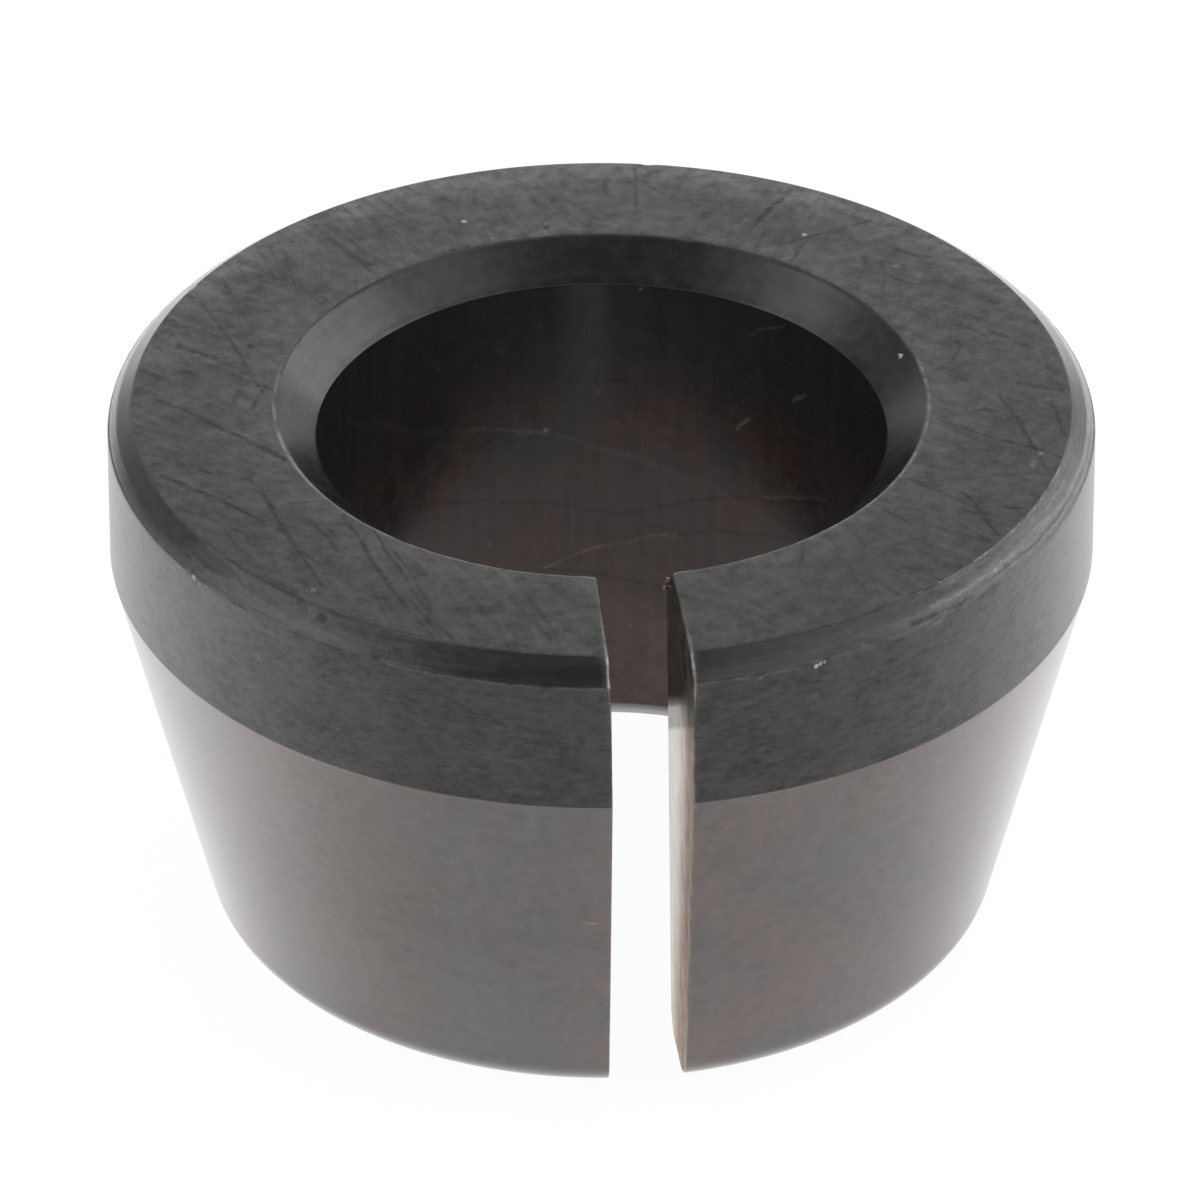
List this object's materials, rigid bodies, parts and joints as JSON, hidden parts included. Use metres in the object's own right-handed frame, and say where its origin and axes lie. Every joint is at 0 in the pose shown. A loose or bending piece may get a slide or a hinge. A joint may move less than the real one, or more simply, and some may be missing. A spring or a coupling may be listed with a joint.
{
  "type": "split taper collet",
  "caption": "Short split taper collet: a dark steel ring with a plain bore, a cylindrical head, a tapered body and one slit through its wall.",
  "frame": {"origin": "centre of the bore in the plane of the small end, on which the collet stands", "axes": "+Z along the bore from the small end to the head; -Y points out through the slit"},
  "size_m": [0.022, 0.022, 0.0126],
  "materials": {
    "steel": "black oxide over a fine turned and ground surface, satin, with handling scratches"
  },
  "bodies": {
    "root": {"collet": "steel"}
  },
  "joints": []
}
